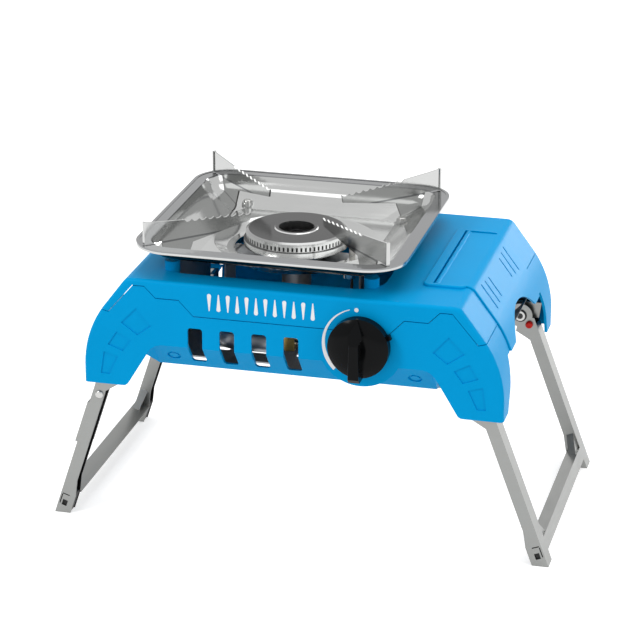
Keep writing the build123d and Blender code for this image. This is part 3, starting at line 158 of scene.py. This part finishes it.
def effect_group(name, inputs, outputs):
    """An empty shader group with named value inputs and outputs."""
    tree = bpy.data.node_groups.new(name, "ShaderNodeTree")
    for label, kind, value in inputs:
        socket = tree.interface.new_socket(name=label, in_out="INPUT", socket_type=kind)
        if value is not None:
            socket.default_value = value
    for label, kind in outputs:
        tree.interface.new_socket(name=label, in_out="OUTPUT", socket_type=kind)
    return tree, tree.nodes.new("NodeGroupInput"), tree.nodes.new("NodeGroupOutput")


def make_fine_relief():
    """Fine even relief, as on sprayed paint and moulded plastic, with a slow change of colour and gloss."""
    tree, ins, outs = effect_group(
        "fine_relief",
        [
            ("Vector", "NodeSocketVector", None),
            ("Scale", "NodeSocketFloat", 600.0),
            ("Colour", "NodeSocketColor", (0.5, 0.5, 0.5, 1.0)),
            ("Roughness", "NodeSocketFloat", 0.4),
        ],
        [("Colour", "NodeSocketColor"), ("Roughness", "NodeSocketFloat"), ("Height", "NodeSocketFloat")],
    )
    noise = tree.nodes.new("ShaderNodeTexNoise")
    noise.inputs["Detail"].default_value = RELIEF_DETAIL
    tree.links.new(ins.outputs["Vector"], noise.inputs["Vector"])
    tree.links.new(ins.outputs["Scale"], noise.inputs["Scale"])
    tree.links.new(noise.outputs["Fac"], outs.inputs["Height"])
    cloud = tree.nodes.new("ShaderNodeTexNoise")
    cloud.inputs["Scale"].default_value = RELIEF_CLOUD_SCALE
    tree.links.new(ins.outputs["Vector"], cloud.inputs["Vector"])
    shade = tree.nodes.new("ShaderNodeMapRange")
    shade.inputs["To Min"].default_value = RELIEF_CLOUD_LOW
    shade.inputs["To Max"].default_value = RELIEF_CLOUD_HIGH
    tree.links.new(cloud.outputs["Fac"], shade.inputs["Value"])
    tint = tree.nodes.new("ShaderNodeVectorMath")
    tint.operation = "SCALE"
    tree.links.new(ins.outputs["Colour"], tint.inputs[0])
    tree.links.new(shade.outputs["Result"], tint.inputs["Scale"])
    tree.links.new(tint.outputs[0], outs.inputs["Colour"])
    gloss = tree.nodes.new("ShaderNodeMath")
    gloss.operation = "MULTIPLY"
    tree.links.new(ins.outputs["Roughness"], gloss.inputs[0])
    tree.links.new(shade.outputs["Result"], gloss.inputs[1])
    tree.links.new(gloss.outputs[0], outs.inputs["Roughness"])
    return tree


def make_rolled_grain():
    """Long fine streaks left by rolling or brushing, with a slow cloud of duller metal."""
    tree, ins, outs = effect_group(
        "rolled_grain",
        [
            ("Vector", "NodeSocketVector", None),
            ("Stretch", "NodeSocketVector", (1.0, 1.0, 1.0)),
            ("Low", "NodeSocketFloat", 0.2),
            ("High", "NodeSocketFloat", 0.4),
        ],
        [("Height", "NodeSocketFloat"), ("Roughness", "NodeSocketFloat")],
    )
    stretched = tree.nodes.new("ShaderNodeVectorMath")
    stretched.operation = "MULTIPLY"
    tree.links.new(ins.outputs["Vector"], stretched.inputs[0])
    tree.links.new(ins.outputs["Stretch"], stretched.inputs[1])
    streak = tree.nodes.new("ShaderNodeTexNoise")
    streak.inputs["Scale"].default_value = STREAK_SCALE
    streak.inputs["Detail"].default_value = STREAK_DETAIL
    tree.links.new(stretched.outputs[0], streak.inputs["Vector"])
    cloud = tree.nodes.new("ShaderNodeTexNoise")
    cloud.inputs["Scale"].default_value = GRAIN_CLOUD_SCALE
    tree.links.new(ins.outputs["Vector"], cloud.inputs["Vector"])
    blend = tree.nodes.new("ShaderNodeMath")
    blend.operation = "MULTIPLY_ADD"
    blend.inputs[1].default_value = STREAK_SHARE
    tree.links.new(streak.outputs["Fac"], blend.inputs[0])
    cloud_part = tree.nodes.new("ShaderNodeMath")
    cloud_part.operation = "MULTIPLY"
    cloud_part.inputs[1].default_value = GRAIN_CLOUD_SHARE
    tree.links.new(cloud.outputs["Fac"], cloud_part.inputs[0])
    tree.links.new(cloud_part.outputs[0], blend.inputs[2])
    spread = tree.nodes.new("ShaderNodeMapRange")
    spread.inputs["From Min"].default_value = GRAIN_FROM
    spread.inputs["From Max"].default_value = GRAIN_TO
    tree.links.new(blend.outputs[0], spread.inputs["Value"])
    tree.links.new(ins.outputs["Low"], spread.inputs["To Min"])
    tree.links.new(ins.outputs["High"], spread.inputs["To Max"])
    tree.links.new(streak.outputs["Fac"], outs.inputs["Height"])
    tree.links.new(spread.outputs["Result"], outs.inputs["Roughness"])
    return tree


def make_channel_shade_mask():
    """Mask for painted shade: one on the inner faces of the leg channels, from where a face lies and which
    way it looks.
    """
    tree, ins, outs = effect_group(
        "painted_channel_shade",
        [("Vector", "NodeSocketVector", None), ("Normal", "NodeSocketVector", None)],
        [("Mask", "NodeSocketFloat")],
    )

    def math(kind, *values):
        """A math node fed with numbers and other nodes' outputs."""
        node = tree.nodes.new("ShaderNodeMath")
        node.operation = kind
        for socket, value in zip(node.inputs, values):
            if isinstance(value, float):
                socket.default_value = value
            else:
                tree.links.new(value, socket)
        return node.outputs[0]

    place = tree.nodes.new("ShaderNodeSeparateXYZ")
    look = tree.nodes.new("ShaderNodeSeparateXYZ")
    tree.links.new(ins.outputs["Vector"], place.inputs[0])
    tree.links.new(ins.outputs["Normal"], look.inputs[0])
    sideways = math("MULTIPLY", place.outputs["X"], look.outputs["X"])
    web = math("LESS_THAN", sideways, -CHANNEL_WEB_REACH)
    rear = math("GREATER_THAN", place.outputs["Y"], FACE_Y + BODY_DEPTH / 2 * MM)
    middle = math("MULTIPLY_ADD", rear, (BODY_DEPTH - 2 * CHANNEL_Y) * MM, FACE_Y + CHANNEL_Y * MM)
    depth = math("SUBTRACT", middle, place.outputs["Y"])
    flange = math("GREATER_THAN", math("MULTIPLY", depth, look.outputs["Y"]), CHANNEL_FLANGE_REACH)
    tree.links.new(math("MAXIMUM", web, flange), outs.inputs["Mask"])
    return tree


FINE_RELIEF = make_fine_relief()
ROLLED_GRAIN = make_rolled_grain()
CHANNEL_SHADE_MASK = make_channel_shade_mask()
BUMP_REACH = 0.5 * MM
COAT_ROUGHNESS = 0.08


def new_surface(name, group, metal, bump_depth):
    """A material whose grain comes from a shared group in the piece's own coordinates."""
    material = bpy.data.materials.new(name)
    material.use_nodes = True
    nodes = material.node_tree.nodes
    links = material.node_tree.links
    shader = nodes["Principled BSDF"]
    shader.inputs["Metallic"].default_value = metal
    place = nodes.new("ShaderNodeTexCoord")
    grain = nodes.new("ShaderNodeGroup")
    grain.node_tree = group
    bump = nodes.new("ShaderNodeBump")
    bump.inputs["Strength"].default_value = bump_depth
    bump.inputs["Distance"].default_value = BUMP_REACH
    links.new(place.outputs["Object"], grain.inputs["Vector"])
    links.new(grain.outputs["Roughness"], shader.inputs["Roughness"])
    links.new(grain.outputs["Height"], bump.inputs["Height"])
    links.new(bump.outputs["Normal"], shader.inputs["Normal"])
    return material, shader, grain


def plain_material(name, colour, rough, metal=0.0, coat=0.0, gloss=0.5, relief=600.0, relief_depth=0.04):
    """One finish with an even colour and fine relief."""
    material, shader, grain = new_surface(name, FINE_RELIEF, metal, relief_depth)
    grain.inputs["Scale"].default_value = relief
    grain.inputs["Colour"].default_value = (*colour, 1.0)
    grain.inputs["Roughness"].default_value = rough
    shader.inputs["Specular IOR Level"].default_value = gloss
    shader.inputs["Coat Weight"].default_value = coat
    shader.inputs["Coat Roughness"].default_value = COAT_ROUGHNESS
    material.node_tree.links.new(grain.outputs["Colour"], shader.inputs["Base Color"])
    return material


def sheet_material(name, colour, low, high, stretch, depth):
    """Bare metal sheet with rolled streaks."""
    material, shader, grain = new_surface(name, ROLLED_GRAIN, 1.0, depth)
    grain.inputs["Stretch"].default_value = stretch
    grain.inputs["Low"].default_value = low
    grain.inputs["High"].default_value = high
    shader.inputs["Base Color"].default_value = (*colour, 1.0)
    return material


def blend_colour(material, mask, colour):
    """Changes a sheet's colour where a mask is one."""
    nodes = material.node_tree.nodes
    links = material.node_tree.links
    base = nodes["Principled BSDF"].inputs["Base Color"]
    blend = nodes.new("ShaderNodeMix")
    blend.data_type = "RGBA"
    if base.is_linked:
        links.new(base.links[0].from_socket, blend.inputs["A"])
    else:
        blend.inputs["A"].default_value = base.default_value
    blend.inputs["B"].default_value = (*colour, 1.0)
    links.new(mask, blend.inputs["Factor"])
    links.new(blend.outputs["Result"], base)


def turned_sheet(material, start, full, colour):
    """Gives another colour to faces whose upward tilt goes from a start to full."""
    nodes = material.node_tree.nodes
    links = material.node_tree.links
    facing = nodes.new("ShaderNodeNewGeometry")
    parts = nodes.new("ShaderNodeSeparateXYZ")
    tilt = nodes.new("ShaderNodeMapRange")
    tilt.inputs["From Min"].default_value = start
    tilt.inputs["From Max"].default_value = full
    links.new(facing.outputs["True Normal"], parts.inputs[0])
    links.new(parts.outputs["Z"], tilt.inputs["Value"])
    blend_colour(material, tilt.outputs["Result"], colour)


def paint_rim_reflection(material, height, spread, colour):
    """Paints a colour over what lies within a spread of a height, used for a painted dark reflection."""
    nodes = material.node_tree.nodes
    links = material.node_tree.links
    parts = nodes.new("ShaderNodeSeparateXYZ")
    level = nodes.new("ShaderNodeMath")
    level.operation = "COMPARE"
    level.inputs[1].default_value = height
    level.inputs[2].default_value = spread
    links.new(nodes["Texture Coordinate"].outputs["Object"], parts.inputs[0])
    links.new(parts.outputs["Z"], level.inputs[0])
    blend_colour(material, level.outputs[0], colour)


def paint_channel_shade(material, colour):
    """Paints shade on the inside of the leg channels with a darker colour."""
    nodes = material.node_tree.nodes
    links = material.node_tree.links
    place = nodes["Texture Coordinate"]
    inside = nodes.new("ShaderNodeGroup")
    inside.node_tree = CHANNEL_SHADE_MASK
    links.new(place.outputs["Object"], inside.inputs["Vector"])
    links.new(place.outputs["Normal"], inside.inputs["Normal"])
    blend_colour(material, inside.outputs["Mask"], colour)


# One finish for each material slot of the record
PAN_RIM_Z = 275.3 * MM
PAN_RIM_SPREAD = 0.9 * MM
LEG_SHEET = sheet_material(
    "leg_sheet", (0.28, 0.284, 0.276), low=0.26, high=0.38, stretch=(1.0, 1.0, 12.0), depth=0.02
)
PAN_SHEET = sheet_material(
    "pan_sheet", (0.50, 0.505, 0.50), low=0.08, high=0.16, stretch=(1.0, 10.0, 1.0), depth=0.01
)
BURNER_SHEET = sheet_material(
    "burner_sheet", (0.70, 0.705, 0.70), low=0.14, high=0.22, stretch=(4.0, 4.0, 1.0), depth=0.008
)
INNER_SHEET = sheet_material(
    "inner_sheet", (0.30, 0.31, 0.32), low=0.40, high=0.55, stretch=(10.0, 1.0, 1.0), depth=0.04
)
# Painted shade: a near-black colour on the inner faces of the leg channels
paint_channel_shade(LEG_SHEET, colour=(0.035, 0.035, 0.034))
# Painted shade: the pan's downward-facing faces turn near-black
turned_sheet(PAN_SHEET, start=-0.08, full=-0.30, colour=(0.05, 0.048, 0.046))
# Painted reflection: a darker band on the pan's rim stands for the dark reflection along its rolled edge
paint_rim_reflection(PAN_SHEET, PAN_RIM_Z, PAN_RIM_SPREAD, colour=(0.24, 0.245, 0.25))
turned_sheet(BURNER_SHEET, start=0.80, full=0.97, colour=(0.028, 0.028, 0.028))
FINISHES = {
    "shell_blue": plain_material("blue_paint", (0.0, 0.33, 0.70), 0.36, gloss=0.035, relief=500.0),
    "leg_steel": LEG_SHEET,
    "pan_steel": PAN_SHEET,
    "burner_steel": BURNER_SHEET,
    "inner_sheet": INNER_SHEET,
    "screw_steel": plain_material("screw_steel", (0.50, 0.50, 0.49), 0.25, metal=1.0),
    "cast_metal": plain_material(
        "cast_metal", (0.36, 0.37, 0.38), 0.4, metal=1.0, relief=900.0, relief_depth=0.08
    ),
    "magnet": plain_material("magnet", (0.03, 0.03, 0.032), 0.5, relief=900.0, relief_depth=0.1),
    "seal_rubber": plain_material("seal_rubber", (0.012, 0.012, 0.012), 0.7),
    "lead_rubber": plain_material("lead_rubber", (0.015, 0.015, 0.015), 0.6),
    "brass": plain_material("brass", (0.58, 0.40, 0.13), 0.28, metal=1.0),
    "ceramic": plain_material("ceramic", (0.83, 0.81, 0.76), 0.25, coat=0.3),
    "black_plastic": plain_material("black_plastic", (0.012, 0.012, 0.012), 0.45),
    "knob_black": plain_material("knob_black", (0.003, 0.0035, 0.004), 0.14, coat=0.02, gloss=0.07),
    "button_red": plain_material("button_red", (0.60, 0.014, 0.008), 0.32, gloss=0.2),
}
PRINT_WHITE = plain_material("print_white", (0.86, 0.87, 0.88), 0.5)

for part in frame["record"]["subparts"]:
    node = frame["nodes"][part["node"]]
    finish = FINISHES[part["material_slot"]]
    if not node.material_slots:
        node.data.materials.append(finish)
    for socket in node.material_slots:
        socket.material = finish


def finish_piece(name, mesh, material, body):
    """Makes an object from a bmesh, gives it a finish and lets it ride on a body."""
    data = bpy.data.meshes.new(name)
    mesh.to_mesh(data)
    mesh.free()
    data.materials.append(material)
    piece = bpy.data.objects.new(name, data)
    bpy.context.scene.collection.objects.link(piece)
    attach(piece, body)


UPRIGHT = Matrix.Rotation(radians(90), 4, "X")

# Black rubber blocks in the ends of the legs, which show through the holes in the feet
PIVOT_X = 170.8
PIVOT_Z = 155.8
PAD_LOW = -163.2
PAD_HIGH = -143.0
PAD_IN = -1.6
PAD_OUT = 10.4
PAD_ROUND = 0.8
RIGHT_SPLAY = radians(20.7)
RIGHT_PAD_DEPTHS = (7.8, 22.2)
LEFT_SPLAY = radians(18.1)
LEFT_PAD_DEPTHS = (9.6, 20.4)

for hand, splay, (near, far), body in (
    (1, RIGHT_SPLAY, RIGHT_PAD_DEPTHS, "right_leg_frame"),
    (-1, LEFT_SPLAY, LEFT_PAD_DEPTHS, "left_leg_frame"),
):
    out_dir = Vector((hand * cos(splay), 0.0, sin(splay)))
    up_dir = Vector((-hand * sin(splay), 0.0, cos(splay)))
    pads = bmesh.new()
    for depth in ((near + far) / 2, BODY_DEPTH - (near + far) / 2):
        middle = at(hand * PIVOT_X, depth, PIVOT_Z)
        middle += out_dir * ((PAD_IN + PAD_OUT) / 2 * MM) + up_dir * ((PAD_LOW + PAD_HIGH) / 2 * MM)
        pad_turn = Matrix((out_dir, up_dir.cross(out_dir), up_dir)).transposed().to_4x4()
        size = Matrix.Diagonal(((PAD_OUT - PAD_IN) * MM, (far - near) * MM, (PAD_HIGH - PAD_LOW) * MM, 1.0))
        bmesh.ops.create_cube(pads, size=1.0, matrix=Matrix.Translation(middle) @ pad_turn @ size)
    bmesh.ops.recalc_face_normals(pads, faces=pads.faces)
    bmesh.ops.bevel(
        pads, geom=list(pads.edges), offset=PAD_ROUND * MM, affect="EDGES", segments=2, profile=0.5,
        material=-1,
    )
    finish_piece(body + "_pads", pads, FINISHES["seal_rubber"], body)

# Lip turned down round the hole in the pan
PAN_X = -27.6
PAN_Y = 128.8
LIP_OUT_R = 59.8
LIP_IN_R = 59.0
LIP_LOW_Z = 239.0
LIP_HIGH_Z = 246.1
LIP_STEPS = 96
lip = bmesh.new()
lip_corners = [
    lip.verts.new(at(PAN_X + radius, PAN_Y, height)) for radius, height in (
        (LIP_OUT_R, LIP_LOW_Z), (LIP_OUT_R, LIP_HIGH_Z), (LIP_IN_R, LIP_HIGH_Z), (LIP_IN_R, LIP_LOW_Z),
    )
]
lip_edges = [lip.edges.new((lip_corners[i - 1], lip_corners[i])) for i in range(4)]
bmesh.ops.spin(
    lip, geom=[*lip_corners, *lip_edges], cent=at(PAN_X, PAN_Y, LIP_LOW_Z), axis=(0.0, 0.0, 1.0),
    angle=2 * pi, steps=LIP_STEPS, use_merge=True,
)
bmesh.ops.recalc_face_normals(lip, faces=lip.faces)
finish_piece("pan_lip", lip, FINISHES["pan_steel"], "pan")

# Painted shade at the hinge pins: dark rings under the heads of the pins and dark discs in the heads stand
# for the shade in the pin holes and hollow heads
FLANGE_NEAR = 6.0
FLANGE_FAR = 24.0
SHADE_RING_IN_R = 4.0
SHADE_RING_R = 6.6
SHADE_RING_OFF = 0.05
SHADE_RING_THICK = 0.3
SHADE_RING_STEPS = 32
SHADE_DISC_R = 3.0
SHADE_DISC_OFF = 2.02
SHADE_DISC_THICK = 0.12
SHADE_DISC_SEGMENTS = 24
pin_shade_marks = bmesh.new()
for hand in (-1, 1):
    for face, away in ((FLANGE_NEAR, -1), (FLANGE_FAR, 1)):
        for rear in (False, True):
            toward = -away if rear else away
            flange = BODY_DEPTH - face if rear else face
            shade_ring_hub = at(hand * PIVOT_X, flange + SHADE_RING_OFF * toward, PIVOT_Z)
            shade_disc_hub = at(hand * PIVOT_X, flange + SHADE_DISC_OFF * toward, PIVOT_Z)
            ends = [
                pin_shade_marks.verts.new(shade_ring_hub + Vector((radius * MM, 0.0, 0.0)))
                for radius in (SHADE_RING_IN_R, SHADE_RING_R)
            ]
            bmesh.ops.spin(
                pin_shade_marks, geom=[*ends, pin_shade_marks.edges.new(ends)], cent=shade_ring_hub, axis=(0.0, 1.0, 0.0),
                angle=2 * pi, steps=SHADE_RING_STEPS, use_merge=True,
            )
            bmesh.ops.create_circle(
                pin_shade_marks, cap_ends=True, segments=SHADE_DISC_SEGMENTS, radius=SHADE_DISC_R * MM,
                matrix=Matrix.Translation(shade_disc_hub) @ UPRIGHT,
            )
            for faces, thick in (
                ([f for f in pin_shade_marks.faces if not f.tag and len(f.verts) == 4], SHADE_RING_THICK),
                ([f for f in pin_shade_marks.faces if not f.tag and len(f.verts) > 4], SHADE_DISC_THICK),
            ):
                grown = bmesh.ops.extrude_face_region(pin_shade_marks, geom=faces)
                moved = [v for v in grown["geom"] if isinstance(v, bmesh.types.BMVert)]
                bmesh.ops.translate(pin_shade_marks, verts=moved, vec=(0.0, thick * toward * MM, 0.0))
                for f in pin_shade_marks.faces:
                    f.tag = True
bmesh.ops.recalc_face_normals(pin_shade_marks, faces=pin_shade_marks.faces)
finish_piece("pin_painted_shade", pin_shade_marks, FINISHES["black_plastic"], "housing")

# White printed marks on the front: tapered ticks, a dot and a swelling arc round the knob
PRINT_THICK = 0.12
PRINT_Y = -0.02
KNOB_X = 65.5
KNOB_Z = 203.4
TICKS = 12
TICK_FIRST_X = -76.2
TICK_PITCH = 8.85
TICK_LOW = 222.6
TICK_HIGH = 239.2
TICK_WIDE = 3.8
TICK_THIN = 1.0
TICK_END_STEPS = 8
DOT_X = 61.6
DOT_Z = 236.6
DOT_R = 2.0
DOT_SEGMENTS = 32
ARC_MID_R = 34.4
ARC_START = radians(107)
ARC_SWEEP = radians(120)
ARC_STEPS = 48
ARC_DRAWN_HALF = 1.0
ARC_THIN_HALF = 0.35
ARC_SWELL = 1.75


def thicken_print(mesh):
    """Gives flat printed faces a hair of thickness towards the viewer."""
    faces = list(mesh.faces)
    grown = bmesh.ops.extrude_face_region(mesh, geom=faces)
    moved = [v for v in grown["geom"] if isinstance(v, bmesh.types.BMVert)]
    bmesh.ops.translate(mesh, verts=moved, vec=(0.0, -PRINT_THICK * MM, 0.0))
    bmesh.ops.recalc_face_normals(mesh, faces=mesh.faces)


ticks = bmesh.new()
for i in range(TICKS):
    low_half = (TICK_WIDE if i % 2 else TICK_THIN) / 2
    high_half = (TICK_THIN if i % 2 else TICK_WIDE) / 2
    x = TICK_FIRST_X + i * TICK_PITCH
    rim = []
    for middle, half, side in ((TICK_LOW + low_half, low_half, -1), (TICK_HIGH - high_half, high_half, 1)):
        for step in range(TICK_END_STEPS + 1):
            round_end = pi * step / TICK_END_STEPS
            rim.append((x + side * half * cos(round_end), middle + side * half * sin(round_end)))
    ticks.faces.new([ticks.verts.new(at(rim_x, PRINT_Y, rim_z)) for rim_x, rim_z in rim])
thicken_print(ticks)
finish_piece("tick_print", ticks, PRINT_WHITE, "housing")

dot = bmesh.new()
bmesh.ops.create_circle(
    dot, cap_ends=True, segments=DOT_SEGMENTS, radius=DOT_R * MM,
    matrix=Matrix.Translation(at(DOT_X, PRINT_Y, DOT_Z)) @ UPRIGHT,
)
thicken_print(dot)
finish_piece("dot_print", dot, PRINT_WHITE, "housing")

arc = bmesh.new()
hub = at(KNOB_X, PRINT_Y, KNOB_Z)
start = [
    arc.verts.new(at(KNOB_X + ARC_MID_R + half, PRINT_Y, KNOB_Z))
    for half in (-ARC_DRAWN_HALF, ARC_DRAWN_HALF)
]
edge = arc.edges.new(start)
bmesh.ops.rotate(arc, verts=start, cent=hub, matrix=Matrix.Rotation(-ARC_START, 3, "Y"))
bmesh.ops.spin(arc, geom=[*start, edge], cent=hub, axis=(0.0, -1.0, 0.0), angle=ARC_SWEEP, steps=ARC_STEPS)
for vert in arc.verts:
    offset = vert.co - hub
    angle = atan2(offset.z, offset.x) % (2 * pi)
    swell = (angle - ARC_START) / ARC_SWEEP
    radius = offset.length / MM
    half = ARC_THIN_HALF + ARC_SWELL * swell
    target = ARC_MID_R + (half if radius > ARC_MID_R else -half)
    vert.co = hub + offset * (target / radius)
thicken_print(arc)
finish_piece("arc_print", arc, PRINT_WHITE, "housing")

# Pale floor
FLOOR_HALF = 6.0
FLOOR_COLOUR = (0.82, 0.82, 0.82, 1.0)
FLOOR_ROUGHNESS = 0.9
FLOOR_SEEN = 0.55
floor_mesh = bmesh.new()
bmesh.ops.create_grid(floor_mesh, x_segments=1, y_segments=1, size=FLOOR_HALF)
floor_data = bpy.data.meshes.new("floor")
floor_mesh.to_mesh(floor_data)
floor_mesh.free()
floor = bpy.data.objects.new("floor", floor_data)
bpy.context.scene.collection.objects.link(floor)
floor_finish = bpy.data.materials.new("pale_floor")
floor_finish.use_nodes = True
floor_nodes = floor_finish.node_tree.nodes
floor_links = floor_finish.node_tree.links
floor_shader = floor_nodes["Principled BSDF"]
floor_shader.inputs["Base Color"].default_value = FLOOR_COLOUR
floor_shader.inputs["Roughness"].default_value = FLOOR_ROUGHNESS
floor_seen = floor_nodes.new("ShaderNodeMath")
floor_seen.operation = "MULTIPLY"
floor_seen.inputs[1].default_value = FLOOR_SEEN
floor_links.new(seen_mask(floor_nodes, floor_links), floor_seen.inputs[0])
floor_shader.inputs["Emission Color"].default_value = WHITE
floor_links.new(floor_seen.outputs[0], floor_shader.inputs["Emission Strength"])
floor_data.materials.append(floor_finish)
